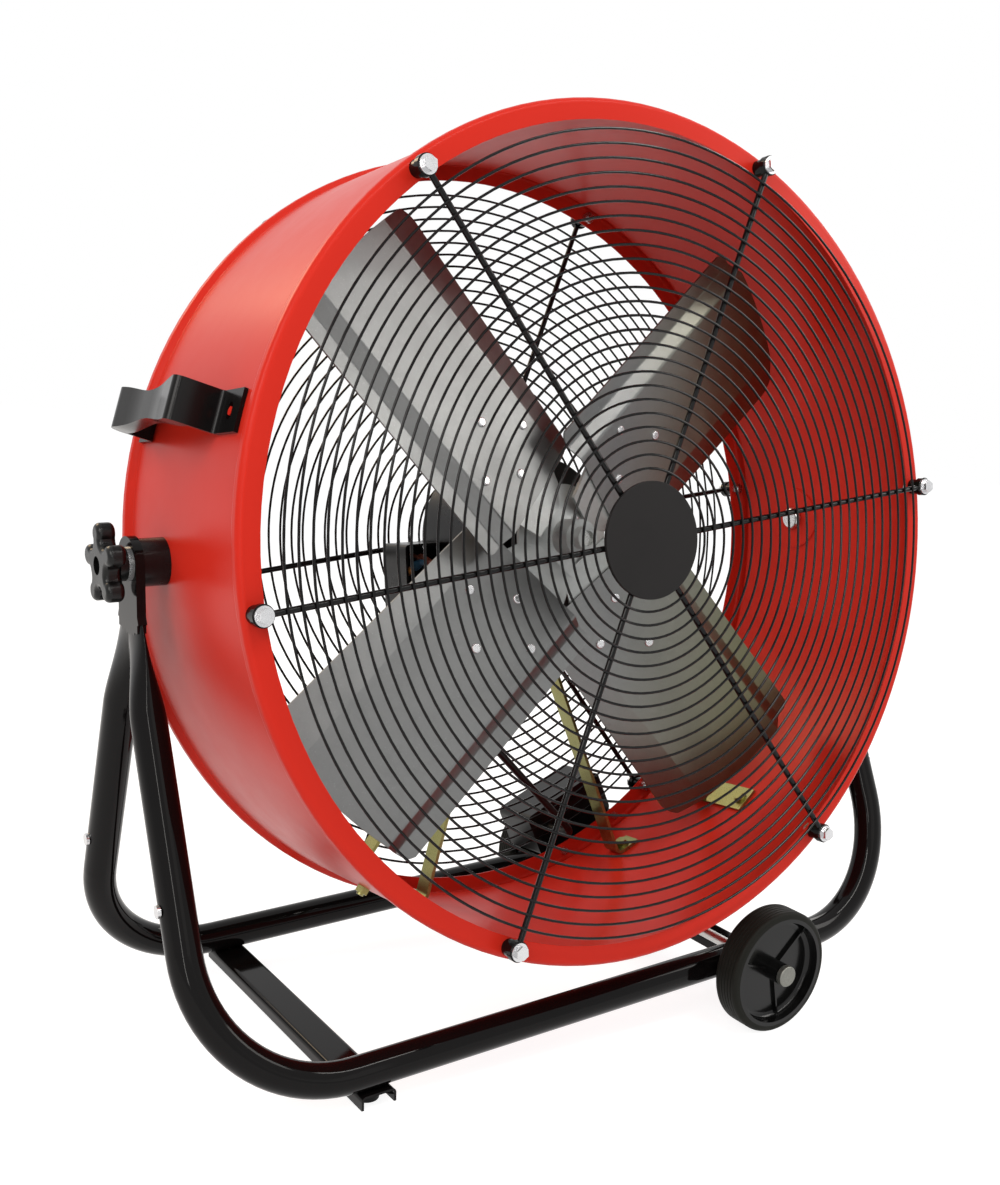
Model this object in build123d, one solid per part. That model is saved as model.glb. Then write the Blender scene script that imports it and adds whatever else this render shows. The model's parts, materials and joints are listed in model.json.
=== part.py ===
from build123d import *
import os
from math import asin, atan2, cos, degrees, hypot, radians, sin

# Tilting drum fan on a tube stand with two wheels.
#
# Millimetres. X runs to the right, Y to the back and Z up, seen from in front. The origin is on the floor,
# under the middle of the tilt axis. The stand is drawn upright and then leaned onto its feet, because they
# are shorter than its wheels. The drum and all that it carries are drawn about the drum's own axis, which
# lies along Y through the middle of the tilt axis, and are then set at the height and tilt of the rest.

os.makedirs("parts", exist_ok=True)

# ---- Stand ----
tube_radius = 13.5
tube_wall = 1.8
leg_gap = 19.5
tube_depth = 140.0
floor_gap = 38.0
leg_cross = 36.0
bend_radius = 116.0
seam_drop = 225.0
slip_length = 45.0
slip_gap = 0.15
screw_drop = 18.0
leg_screw_radius = 2.5
plate_half_width = 20.5
plate_drop = 50.0
crush_half_width = 18.5
crush_thickness = 7.0
crush_start = 15.0
crush_end = 86.0
crush_steps = 4
channel_width = 30.0
channel_depth = 11.0
channel_wall = 2.0
channel_bend = 3.0
channel_overhang = 12.0
left_channel_x = -231.0
right_channel_x = 190.0
channel_screw_radius = 3.0
foot_radius = 10.8
foot_drop = 14.5
foot_edge = 1.5
foot_set_back = 10.0

# ---- Wheels ----
wheel_x = 160.0
wheel_radius = 56.0
wheel_width = 27.0
wheel_gap = 2.0
tyre_thickness = 6.0
tyre_shoulder = 4.0
tread_groove = 1.0
groove_count = 5
groove_pitch = 3.6
rim_thickness = 3.5
wheel_web = 4.0
web_round = 5.0
rib_count = 3
rib_wall = 1.6
rib_height = 3.0
rib_clocking = 80.0
boss_radius = 9.5
boss_rise = 3.0
axle_radius = 5.0
washer_radius = 9.5
washer_thickness = 2.0
cap_radius = 9.5
cap_height = 5.5

# ---- Drum ----
rest_tilt = 6.4
shell_radius = 338.0
shell_wall = 1.2
rim_rise = 5.0
rim_width = 17.0
front_depth = 154.0
rear_depth = 82.0
lip_depth = 9.0
lip_bend = 4.0
neck_length = 5.0
neck_bend = 3.0

# ---- Guards ----
spoke_count = 6
spoke_clocking = 5.3
bolt_edge = 9.5
spoke_radius = 2.4
ring_radius = 1.05
ring_sides = 12
eye_radius = 2.5
weld_sink = 0.25
first_ring = 46.0
last_ring_gap = 10.0
ring_count = 26
spoke_hub_radius = 22.0
standoff_radius = 6.8
standoff_height = 9.0
badge_radius = 47.0
badge_thickness = 1.6
guard_bolt_radius = 3.0
bolt_flange_radius = 7.2
bolt_flange = 1.6
bolt_hex = 5.6
bolt_head = 4.0
nut_height = 5.0

# ---- Tilt pivots and knobs ----
pivot_bolt_radius = 5.0
pivot_head_radius = 11.0
pivot_head_height = 5.0
spacer_radius = 18.3
pad_radius = 30.0
pad_thickness = 1.5
knob_washer_radius = 13.0
knob_washer_thickness = 2.0
knob_lobes = 5
knob_clocking = 36.0
knob_radius = 31.5
knob_lobe_radius = 8.0
knob_waist_radius = 17.0
knob_waist_round = 6.0
knob_edge_round = 4.0
knob_boss_radius = 13.0
knob_boss_length = 6.5
knob_head_length = 14.0
knob_recess_radius = 7.0
knob_recess_depth = 6.0
bolt_set_back = 3.0

# ---- Carry handle ----
handle_angle = 161.8
handle_front = -91.8
handle_rear = 40.0
handle_rise = 40.0
handle_width = 31.5
handle_dip = 6.5
handle_waist = 5.0
handle_wall = 3.0
grip_side = 18.0
handle_foot = 36.0
handle_bend = 4.5
handle_round = 12.0
handle_flat = 44.0
handle_sweep = 150.0
handle_slot_width = 7.5
handle_slot_length = 13.0
handle_rivet_radius = 3.2

# ---- Fan ----
tip_gap = 22.0
fan_plane = -60.0
blade_count = 4
blade_clocking = 41.0
blade_pitch = 16.0
blade_wall = 1.6
blade_root = 48.0
blade_main_rear = 50.0
blade_main_front = 48.0
blade_rear_fold = 12.0
blade_rear_root = 70.0
blade_rear_tip = 86.0
blade_step = 15.0
blade_step_fold = 44.0
blade_flange = 15.0
blade_bend = 3.0
blade_root_round = 11.0
blade_tip_round = 26.0
arm_wall = 3.0
arm_half_width = 45.0
arm_end = 143.0
arm_start = 24.0
spider_radius = 46.0
spider_front = -58.0
rivet_radius = 2.6
rivet_head = 4.2
rivet_rise = 1.8
rivet_inner = 74.0
rivet_outer = 131.0
rivet_side = 98.0
rivet_spread = 36.0
hub_radius = 16.0
hub_front = -78.0
hub_rear = -44.0
nose_radius = 10.0
nose_length = 9.0
shaft_radius = 6.35
running_gap = 0.04
set_screw_radius = 3.0

# ---- Motor ----
motor_radius = 70.0
motor_wall = 3.0
motor_front = -14.0
motor_rear = 64.0
bell_depth = 11.0
bell_wall = 4.0
bearing_radius = 14.0
bearing_width = 9.0
stator_bore = 41.0
air_gap = 0.6
core_length = 46.0
coil_depth = 12.0
coil_thickness = 15.0
bell_screw_circle = 60.0
bell_screw_radius = 2.5
terminal_width = 46.0
terminal_height = 66.0
terminal_depth = 40.0
terminal_wall = 2.0
lead_radius = 3.6

# ---- Motor mount ----
strap_width = 18.0
strap_wall = 3.0
strap_bend = 6.0
front_strap_y = -2.0
front_strap_angle = 35.5
rear_strap_y = 29.0
rear_strap_angle = 19.0
strap_foot = 26.0
front_foot_reach = 66.0
base_half_width = 30.0
base_drop = 16.0
base_front = -12.0
base_rear = 42.0
base_wall = 3.0
mount_bolt_radius = 3.0
mount_hex = 5.8
motor_stud_radius = 4.0

# ---- Control box ----
box_angle = -69.0
box_width = 96.0
box_height = 46.0
box_depth = 50.0
box_drop = 6.0
box_front = 103.0
box_wall = 2.0
box_corner = 6.0
lid_thickness = 2.5
bracket_wall = 2.0
bracket_bend = 3.0
bracket_tab = 12.0
box_screw_radius = 2.0
gland_radius = 9.0
gland_bore = 4.2
gland_length = 16.0
gland_offset = 30.0
dial_radius = 15.0
dial_height = 14.0
dial_grip = 3.5
dial_offset = -14.0
dial_stem_radius = 3.0

# ---- Fits ----
seat = 0.1
clearance = 0.2
hinge_gap = 0.05

rim_radius = shell_radius + rim_rise
opening_radius = rim_radius - rim_width
bolt_circle = rim_radius - bolt_edge
ring_pitch = (opening_radius - last_ring_gap - first_ring) / (ring_count - 1)
fan_radius = opening_radius - tip_gap
leg_plane = rim_radius + leg_gap
pivot_rise = rim_radius + floor_gap
handle_top = shell_radius + handle_rise
rear_foot = rear_depth - lip_depth - neck_length - neck_bend - handle_rear
tyre_inner_radius = wheel_radius - tyre_thickness
rim_inner_radius = tyre_inner_radius - rim_thickness
tube_height = wheel_radius
pivot_height = tube_height + pivot_rise
axle_to_foot = wheel_x - left_channel_x
foot_depth = tube_radius + foot_drop
lean = degrees(asin(wheel_radius / hypot(axle_to_foot, foot_depth)) - atan2(foot_depth, axle_to_foot))
lean_turn = Pos(wheel_x, 0, tube_height) * Rot(0, -lean, 0) * Pos(-wheel_x, 0, -tube_height)
stand_place = Pos(-(lean_turn * Pos(0, 0, pivot_height)).position.X, 0, 0) * lean_turn
drum_place = stand_place * Pos(0, 0, pivot_height) * Rot(-rest_tilt, 0, 0)
nodes = {}


def rod(start, end, radius, bore=0.0):
    """Round bar between two points, or a tube where a bore is given."""
    along = Vector(*end) - Vector(*start)
    section = Circle(radius) - Circle(bore) if bore else Circle(radius)
    return extrude(Plane(origin=start, z_dir=along) * section, amount=along.length)


def turned(*corners):
    """Solid of revolution about Y, from its half section in radius and Y."""
    return revolve(make_face(Polyline(*corners, close=True)), axis=Axis.Y)


def strip(points, bends, wall):
    """Outline of a bent sheet whose middle line follows the points, with a bend radius at each corner."""
    spine = [Vector(*point) for point in points]
    runs = [(b - a).normalized() for a, b in zip(spine, spine[1:])]
    normals = [Vector(-run.Y, run.X) for run in runs]
    outline, radii = [], []
    for side in (1, -1):
        offset = side * wall / 2
        edge, rounds = [spine[0] + normals[0] * offset], [0.0]
        for i in range(1, len(spine) - 1):
            before, after = normals[i - 1], normals[i]
            edge.append(spine[i] + (before + after) * (offset / (1 + before.dot(after))))
            left_turn = runs[i - 1].X * runs[i].Y - runs[i - 1].Y * runs[i].X > 0
            rounds.append(bends[i - 1] - offset if left_turn else bends[i - 1] + offset)
        edge.append(spine[-1] + normals[-1] * offset)
        rounds.append(0.0)
        outline += edge[::side]
        radii += rounds[::side]
    return make_face(FilletPolyline(*outline, radius=radii, close=True))


def polar(radius, angle, y=0.0):
    """Point at a radius and an angle about the drum's axis, counted from +X towards +Z."""
    return Vector(radius * cos(radians(angle)), y, radius * sin(radians(angle)))


def outward(angle, radius=0.0, y=0.0):
    """Frame on the drum at an angle: its Z points away from the axis and its X back along the drum."""
    return Plane(origin=polar(radius, angle, y), x_dir=(0, 1, 0), z_dir=polar(1.0, angle)).location


def facing(start, direction):
    """Frame at a point with its Z along a direction."""
    return Plane(origin=start, z_dir=direction).location


def hex_head(across_corners, height, flange_radius, flange_height):
    """Hexagon head with a round flange under it, standing on its seat."""
    flange = Cylinder(flange_radius, flange_height, align=(Align.CENTER, Align.CENTER, Align.MIN))
    hexagon = extrude(Pos(0, 0, flange_height) * RegularPolygon(across_corners, 6), amount=height)
    return flange + hexagon


def round_bar(radius, length, start=0.0):
    """Bar along the local Z from a start height."""
    bar = Cylinder(radius, length, align=(Align.CENTER, Align.CENTER, Align.MIN))
    return Pos(0, 0, start) * bar


def nut(across_corners, height, bore):
    """Hexagon nut standing on its seat."""
    return extrude(RegularPolygon(across_corners, 6) - Circle(bore), amount=height)


# ---------------------------------------------------------------- stand


def leg_points(side, end):
    """Corner at the floor and meeting point of one leg's middle line; side -1 is left, end -1 is front."""
    corner = Vector(side * leg_plane, end * tube_depth, tube_height)
    apex = Vector(side * leg_plane, 0, pivot_height - leg_cross)
    return corner, apex


def leg_run(side, end):
    """Meeting point and direction down one leg."""
    corner, apex = leg_points(side, end)
    return apex, (corner - apex).normalized()


def leg_distance(drop):
    """Distance along a leg from its meeting point for a drop below the tilt axis."""
    return (drop - leg_cross) * hypot(tube_depth, pivot_rise - leg_cross) / (pivot_rise - leg_cross)


def leg_screw(side, end):
    """Place and outward direction of the screw through a leg's slip joint."""
    apex, down = leg_run(side, end)
    centre = apex + down * (leg_distance(seam_drop) + screw_drop)
    return centre, Vector(side, 0, 0)


def base_tube(end):
    """U-shaped floor tube that turns up into two legs."""
    tops = []
    for side in (-1, 1):
        apex, down = leg_run(side, end)
        tops.append(apex + down * leg_distance(seam_drop))
    corners = [leg_points(side, end)[0] for side in (-1, 1)]
    path = FilletPolyline(tops[0], corners[0], corners[1], tops[1], radius=bend_radius)
    start = Plane(origin=tops[0], z_dir=corners[0] - tops[0])
    tube = sweep(start * (Circle(tube_radius) - Circle(tube_radius - tube_wall)), path=path)
    for side in (-1, 1):
        centre, out = leg_screw(side, end)
        tube -= rod(centre, centre + out * 2 * tube_radius, leg_screw_radius + clearance)
    y = end * tube_depth
    reach = Vector(0, 2 * tube_radius, 0)
    axle_hole = Vector(wheel_x, y, tube_height)
    tube -= rod(axle_hole - reach, axle_hole + reach, axle_radius + clearance)
    for x in (left_channel_x, right_channel_x):
        under = Vector(x, y, tube_height)
        tube -= rod(under, under - Vector(0, 0, 2 * tube_radius), channel_screw_radius + clearance)
    return tube


def crushed_section(apex, down, distance, half_width, half_thickness):
    """Oval section across a leg, wide in the leg's own plane."""
    plane = Plane(origin=apex + down * distance, x_dir=(1, 0, 0), z_dir=down)
    return plane * Ellipse(half_thickness, half_width)


def crushed_end(apex, down):
    """Stretch of a leg that swells smoothly from the flat apex to the round tube."""
    sections = []
    for i in range(crush_steps + 1):
        share = i / crush_steps
        ease = share ** 2 * (3 - 2 * share)
        distance = crush_start - seat + share * (crush_end - crush_start + seat)
        half_width = crush_half_width + ease * (tube_radius - crush_half_width)
        half_thickness = crush_thickness / 2 + ease * (tube_radius - crush_thickness / 2)
        sections.append(crushed_section(apex, down, distance, half_width, half_thickness))
    return loft(sections)


def yoke(side):
    """Inverted V of one tube: its apex is pressed flat and bored for the tilt bolt."""
    pin = Vector(side * leg_plane, 0, pivot_height)
    upright = Plane(origin=pin, x_dir=(0, 0, -1), z_dir=(1, 0, 0))
    flat = upright * Circle(plate_half_width)
    flat += upright * Pos(plate_drop / 2, 0) * Rectangle(plate_drop, 2 * plate_half_width)
    legs = None
    for end in (-1, 1):
        apex, down = leg_run(side, end)
        flat_leg = Plane(origin=apex, x_dir=down, z_dir=(1, 0, 0))
        flat += flat_leg * Pos(crush_start / 2, 0) * Rectangle(crush_start, 2 * crush_half_width)
        crush = crushed_end(apex, down)
        seam = leg_distance(seam_drop)
        tube = rod(apex + down * crush_end, apex + down * seam, tube_radius)
        slip_radius = tube_radius - tube_wall - slip_gap
        tube += rod(apex + down * crush_end, apex + down * (seam + slip_length), slip_radius)
        bore = slip_radius - tube_wall
        tube -= rod(apex + down * (crush_end + bore), apex + down * (seam + slip_length), bore)
        centre, out = leg_screw(side, end)
        tube -= rod(centre, centre + out * 2 * tube_radius, leg_screw_radius + clearance)
        legs = crush + tube if legs is None else legs + crush + tube
    plate = extrude(flat, amount=crush_thickness / 2, both=True)
    hole = Vector(2 * crush_thickness, 0, 0)
    return plate + legs - rod(pin - hole, pin + hole, pivot_bolt_radius + hinge_gap)


def leg_screws(side):
    """Screws through one side's two slip joints."""
    screws = []
    for end in (-1, 1):
        centre, out = leg_screw(side, end)
        inside = tube_radius - 2 * tube_wall - 3.0
        shank = rod(centre + out * inside, centre + out * tube_radius, leg_screw_radius)
        head = facing(centre + out * tube_radius, out) * round_bar(2 * leg_screw_radius, 2.4)
        screws.append(shank + head)
    return screws


def channel(x):
    """Cross channel, open downwards, under both floor tubes."""
    top = tube_height - tube_radius - seat - channel_wall / 2
    half = channel_width / 2 - channel_wall / 2
    low = top - channel_depth + channel_wall / 2
    section = strip([(-half, low), (-half, top), (half, top), (half, low)], [channel_bend] * 2, channel_wall)
    across = Plane(origin=(x, 0, 0), x_dir=(1, 0, 0), z_dir=(0, -1, 0))
    rail = extrude(across * section, amount=tube_depth + channel_overhang, both=True)
    for end in (-1, 1):
        screw = Vector(x, end * tube_depth, 0)
        rail -= rod(screw, screw + Vector(0, 0, tube_height), channel_screw_radius + clearance)
    return rail


def channel_screws(x):
    """Screws that hold a channel up to the floor tubes."""
    screws = []
    web_underside = tube_height - tube_radius - seat - channel_wall
    for end in (-1, 1):
        y = end * tube_depth
        length = tube_height - tube_radius + tube_wall + 3.0 - web_underside
        head = round_bar(2 * channel_screw_radius, 2.5, -2.5)
        screws.append(Pos(x, y, web_underside) * (round_bar(channel_screw_radius, length) + head))
    return screws


def on_stand(shape):
    """Leans a piece of the stand onto its feet."""
    return stand_place * shape


def foot(end):
    """Round rubber foot inside the left channel, hollow for its screw head and flat on the floor."""
    top = tube_height - tube_radius - seat - channel_wall
    body = round_bar(foot_radius, 2 * foot_drop, top - 2 * foot_drop)
    body -= Pos(0, end * foot_set_back, 0) * round_bar(2 * channel_screw_radius + 1.0, 4.0, top - 4.0)
    body = on_stand(Pos(left_channel_x, end * (tube_depth - foot_set_back), 0) * body)
    body = split(body, bisect_by=Plane.XY, keep=Keep.TOP)
    return fillet(body.edges().group_by(Axis.Z)[0], foot_edge)


def axle():
    """Steel rod through both floor tubes, with a washer on each side of each wheel."""
    half = axle_end()
    return rod((wheel_x, -half, tube_height), (wheel_x, half, tube_height), axle_radius)


def wheel_inner():
    """Distance in Y of a wheel's inner face."""
    return tube_depth + tube_radius + washer_thickness + wheel_gap + boss_rise


def cap_seat():
    """Distance in Y of the inner face of a cap, just outside its wheel's boss."""
    return wheel_inner() + wheel_width + boss_rise + wheel_gap / 2


def axle_end():
    """Distance in Y of the axle's end, inside its cap."""
    return cap_seat() + (wheel_gap + cap_height) / 2


def axle_trim(end):
    """Inner washer and pressed-on cap of one wheel."""
    inner = tube_depth + tube_radius + seat
    washer = rod(
        (wheel_x, end * inner, tube_height), (wheel_x, end * (inner + washer_thickness), tube_height),
        washer_radius, axle_radius + seat,
    )
    seat_y = cap_seat()
    cap = rod(
        (wheel_x, end * seat_y, tube_height), (wheel_x, end * (seat_y + cap_height), tube_height), cap_radius
    )
    cap = fillet(cap.edges().filter_by(GeomType.CIRCLE).group_by(Axis.Y)[-1 if end > 0 else 0], 1.5)
    cap -= rod((wheel_x, 0, tube_height), (wheel_x, end * axle_end(), tube_height), axle_radius)
    return washer, cap


# ---------------------------------------------------------------- wheels


def on_wheel(end, shape):
    """Moves a wheel part, drawn about Y with its outer face at y = 0, to the front or rear wheel."""
    outer = wheel_inner() + wheel_width
    turn = Rot(0, 0, 0) if end < 0 else Rot(0, 0, 180)
    return Pos(wheel_x, end * outer, tube_height) * turn * shape


def tyre():
    """Solid rubber tyre with rounded shoulders and grooves round its tread."""
    inset = wheel_gap / 2
    section = FilletPolyline(
        (tyre_inner_radius, 0), (wheel_radius, inset), (wheel_radius, wheel_width - inset),
        (tyre_inner_radius, wheel_width), radius=[0, tyre_shoulder, tyre_shoulder, 0], close=True,
    )
    ring = revolve(make_face(section), axis=Axis.Y)
    for i in range(groove_count):
        y = wheel_width / 2 + (i - (groove_count - 1) / 2) * groove_pitch
        ring -= turned(
            (wheel_radius - tread_groove, y), (wheel_radius + tread_groove, y - tread_groove),
            (wheel_radius + tread_groove, y + tread_groove),
        )
    return ring


def wheel_hub():
    """Moulded wheel: a rim, a dished web with a rounded foot, a bored boss and low ribs."""
    web = wheel_width / 2
    near, far = web - wheel_web / 2, web + wheel_web / 2
    section = FilletPolyline(
        (boss_radius - 1, near), (rim_inner_radius, near), (rim_inner_radius, 0), (tyre_inner_radius, 0),
        (tyre_inner_radius, wheel_width), (rim_inner_radius, wheel_width), (rim_inner_radius, far),
        (boss_radius - 1, far), radius=[0, web_round, 0, 0, 0, 0, web_round, 0], close=True,
    )
    hub = revolve(make_face(section), axis=Axis.Y)
    boss_ends = (-boss_rise, wheel_width + boss_rise)
    hub += rod((0, boss_ends[0], 0), (0, boss_ends[1], 0), boss_radius)
    rib_length = rim_inner_radius - boss_radius + 1
    rib = Pos(boss_radius + rib_length / 2 - 0.5, web, 0) * Box(rib_length, wheel_web + 2 * rib_height, rib_wall)
    for i in range(rib_count):
        hub += Rot(0, rib_clocking + 360 * i / rib_count, 0) * rib
    return hub - rod((0, boss_ends[0] - 1, 0), (0, boss_ends[1] + 1, 0), axle_radius + hinge_gap)


# ---------------------------------------------------------------- drum


def on_drum(shape):
    """Sets a piece drawn about the drum's axis at the drum's height and tilt."""
    return drum_place * shape


def guard_angles():
    """Angles of the guard spokes and bolts."""
    return [spoke_clocking + 360 * i / spoke_count for i in range(spoke_count)]


def drum_shell():
    """Rolled shell: each end steps out to a lip, and from there a flat rim turns in round the opening."""
    shell_mid = shell_radius - shell_wall / 2
    lip_mid = rim_radius - shell_wall / 2
    front = -front_depth + shell_wall / 2
    rear = rear_depth - shell_wall / 2
    profile = strip(
        [
            (opening_radius, front), (lip_mid, front), (lip_mid, front + lip_depth),
            (shell_mid, front + lip_depth + neck_length), (shell_mid, rear - lip_depth - neck_length),
            (lip_mid, rear - lip_depth), (lip_mid, rear), (opening_radius, rear),
        ],
        [lip_bend, neck_bend, neck_bend, neck_bend, neck_bend, lip_bend], shell_wall,
    )
    shell = revolve(profile, axis=Axis.Y)
    for angle in guard_angles():
        along = polar(bolt_circle, angle)
        for y in (-front_depth, rear_depth):
            reach = Vector(0, 2 * shell_wall, 0)
            middle = along + Vector(0, y, 0)
            shell -= rod(middle - reach, middle + reach, guard_bolt_radius + clearance)
    for angle in (0, 180):
        shell -= rod(polar(shell_radius - 6, angle), polar(shell_radius + 6, angle),
                     pivot_bolt_radius + clearance)
    for y in handle_feet():
        shell -= rod(polar(shell_radius - 6, handle_angle, y), polar(shell_radius + 6, handle_angle, y),
                     handle_rivet_radius + clearance)
    for angle, y in strap_bolts():
        shell -= rod(polar(shell_radius - 6, angle, y), polar(shell_radius + 6, angle, y),
                     mount_bolt_radius + clearance)
    for screw in bracket_screws():
        reach = Vector(0, 2 * shell_wall, 0)
        shell -= rod(screw - reach, screw + reach, box_screw_radius + clearance)
    return shell


def guard(rim, out):
    """Wire guard on a rim: rings welded outside the spokes, which end in eyes on stand-offs."""
    spoke_y = rim + out * (standoff_height + eye_radius)
    ring_y = spoke_y + out * (spoke_radius + ring_radius - weld_sink)
    eye_bore = guard_bolt_radius + clearance
    spokes = revolve(Pos(spoke_hub_radius, spoke_y) * Circle(eye_radius), axis=Axis.Y)
    eye = turned(
        (eye_bore, spoke_y - eye_radius), (eye_bore + 2 * eye_radius, spoke_y - eye_radius),
        (eye_bore + 2 * eye_radius, spoke_y + eye_radius), (eye_bore, spoke_y + eye_radius),
    )
    standoffs, bolts, nuts = [], [], []
    for angle in guard_angles():
        centre = polar(bolt_circle, angle)
        start = polar(spoke_hub_radius, angle, spoke_y)
        end = polar(bolt_circle - eye_bore - eye_radius, angle, spoke_y)
        spokes += rod(start, end, spoke_radius)
        spokes += Pos(centre.X, 0, centre.Z) * eye
        rim_point = centre + Vector(0, rim, 0)
        away = Vector(0, out, 0)
        standoffs.append(
            rod(rim_point, rim_point + away * standoff_height, standoff_radius, guard_bolt_radius + seat)
        )
        head_at = rim_point + away * (standoff_height + 2 * eye_radius)
        head = facing(head_at, away) * hex_head(bolt_hex, bolt_head, bolt_flange_radius, bolt_flange)
        shank_end = rim_point - away * (shell_wall + nut_height + 2.0)
        bolts.append(head + rod(shank_end, head_at + away * bolt_flange, guard_bolt_radius))
        nut_at = rim_point - away * shell_wall
        nuts.append(facing(nut_at, away * -1) * nut(bolt_hex, nut_height, guard_bolt_radius))
    wire = RegularPolygon(ring_radius, ring_sides)
    rings = [
        revolve(Pos(first_ring + i * ring_pitch, ring_y) * wire, axis=Axis.Y) for i in range(ring_count)
    ]
    return rings, spokes, standoffs, bolts, nuts, ring_y


def badge(ring_y):
    """Plain round disc over the middle of the front guard."""
    back = ring_y - ring_radius
    disc = rod((0, back, 0), (0, back - badge_thickness, 0), badge_radius)
    return fillet(disc.edges().filter_by(GeomType.CIRCLE).group_by(Axis.Y)[0], badge_thickness / 3)


# ---------------------------------------------------------------- pivots and knobs

yoke_inner = leg_plane - crush_thickness / 2
yoke_outer = leg_plane + crush_thickness / 2
knob_seat = yoke_outer + knob_washer_thickness
knob_end = knob_seat + knob_boss_length + knob_head_length


def sideways(side, shape):
    """Turns a piece drawn along the local Z from the drum's axis to the left (-1) or right (1)."""
    return facing((0, 0, 0), (side, 0, 0)) * shape


def pivot_spacer(side):
    """Round spacer between the shell and the yoke, coped to the shell."""
    spacer = round_bar(spacer_radius, yoke_inner - shell_radius + 20, shell_radius - 20)
    spacer -= round_bar(pivot_bolt_radius + clearance, yoke_outer)
    return sideways(side, spacer) - rod((0, -spacer_radius, 0), (0, spacer_radius, 0), shell_radius + seat)


def pivot_pad(side):
    """Curved backing plate inside the shell under a pivot bolt's head."""
    inner = shell_radius - shell_wall - seat
    pad = round_bar(pad_radius, 40, inner - 20) - round_bar(pivot_bolt_radius + clearance, yoke_outer)
    ends = (0, -pad_radius - 1, 0), (0, pad_radius + 1, 0)
    pad = sideways(side, pad) & rod(*ends, inner)
    return pad - rod(*ends, inner - pad_thickness)


def pivot_bolt(side):
    """Domed bolt fixed to the drum, which the yoke and the knob ride on."""
    seat_at = shell_radius - shell_wall - seat - pad_thickness - pad_radius ** 2 / (2 * shell_radius)
    head = round_bar(pivot_head_radius, pivot_head_height, seat_at - pivot_head_height)
    head = fillet(head.edges().filter_by(GeomType.CIRCLE).group_by(Axis.Z)[0], pivot_head_height * 0.7)
    shank = round_bar(pivot_bolt_radius, knob_end - knob_recess_depth - bolt_set_back - seat_at, seat_at)
    return sideways(side, head + shank)


def knob_washer(side):
    """Washer under a knob, which goes in and out with it."""
    ring = round_bar(knob_washer_radius, knob_washer_thickness, yoke_outer)
    return sideways(side, ring - round_bar(pivot_bolt_radius + hinge_gap, knob_end))


def knob(side):
    """Star knob with rounded lobes, a boss and a recess in its face."""
    star = Circle(knob_waist_radius)
    lobe_centre = knob_radius - knob_lobe_radius
    for i in range(knob_lobes):
        turn = Rot(0, 0, knob_clocking + 360 * i / knob_lobes)
        arm = Pos(lobe_centre / 2, 0) * Rectangle(lobe_centre, 1.7 * knob_lobe_radius)
        star += turn * arm
        star += turn * Pos(lobe_centre, 0) * Circle(knob_lobe_radius)
    waist = star.vertices().filter_by(lambda v: hypot(v.X, v.Y) < knob_waist_radius + seat)
    star = fillet(waist, knob_waist_round)
    head = extrude(Pos(0, 0, knob_seat + knob_boss_length) * star, amount=knob_head_length)
    face_edges = head.edges().group_by(Axis.Z)
    head = fillet(face_edges[-1] + face_edges[0], knob_edge_round)
    body = head + round_bar(knob_boss_radius, knob_boss_length + 1, knob_seat)
    body -= round_bar(knob_recess_radius, knob_recess_depth, knob_end - knob_recess_depth)
    return sideways(side, body - round_bar(pivot_bolt_radius + hinge_gap, knob_end))


# ---------------------------------------------------------------- carry handle


def handle_feet():
    """Y of the middle of each handle foot."""
    return (handle_front - handle_foot / 2, handle_rear + rear_foot / 2)


def handle_outline(inset):
    """Outline of the handle seen from outside, in Y and across: full width but for a waist in its grip."""
    half = handle_width / 2 - inset
    waist = half - handle_waist
    middle = (handle_front + handle_rear) / 2
    ends = (handle_front - handle_foot, handle_rear + handle_foot)
    grip = (handle_front + handle_bend, handle_rear - handle_round)
    edges = [Line((ends[side], half * -turn), (ends[side], half * turn)) for side, turn in ((0, -1), (1, 1))]
    for across in (-1, 1):
        edges.append(Line((ends[0], half * across), (grip[0], half * across)))
        edges.append(Spline((grip[0], half * across), (middle, waist * across), (grip[1], half * across),
                            tangents=((1, 0), (1, 0))))
        edges.append(Line((grip[1], half * across), (ends[1], half * across)))
    return make_face(edges)


def carry_handle():
    """Pressed strap handle: two feet, two legs and a dipped, waisted grip with its sides turned in.

    The rear foot is the shorter one, because it ends where the shell starts to step out to its lip.
    """
    plate = Plane(origin=(0, 0, 0), x_dir=(0, 1, 0), z_dir=polar(1.0, handle_angle - 90))
    foot_at = shell_radius + seat + handle_wall / 2
    top = handle_top - handle_wall / 2
    front = handle_front + handle_wall / 2
    rear = handle_rear - handle_wall / 2
    middle = (handle_front + handle_rear) / 2
    crown = [(middle - handle_flat / 2, top - handle_dip), (middle + handle_flat / 2, top - handle_dip)]
    strap = strip(
        [
            (front - handle_foot, foot_at), (front, foot_at), (front, top), *crown,
            (rear, top), (rear, foot_at), (handle_rear + rear_foot, foot_at),
        ],
        [handle_bend, handle_bend, handle_sweep, handle_sweep, handle_round, handle_bend], handle_wall,
    )
    low = handle_top - grip_side
    side = make_face(
        FilletPolyline(
            (front, top), *crown, (rear, top), (rear, low), (front, low),
            radius=[handle_bend, handle_sweep, handle_sweep, handle_round, 0, 0], close=True,
        )
    )
    seen_from_outside = outward(handle_angle)
    outer = extrude(seen_from_outside * handle_outline(0.0), amount=handle_top + 1)
    inner = extrude(seen_from_outside * handle_outline(handle_wall), amount=handle_top + 1)
    handle = extrude(plate * strap, amount=handle_width / 2, both=True) & outer
    handle += (extrude(plate * side, amount=handle_width / 2, both=True) & outer) - inner
    for y in handle_feet():
        slot = SlotOverall(handle_slot_length, handle_slot_width)
        hole = extrude(Rot(0, 0, 90) * slot, amount=20, both=True)
        handle -= outward(handle_angle, shell_radius, y) * hole
    return handle


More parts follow.
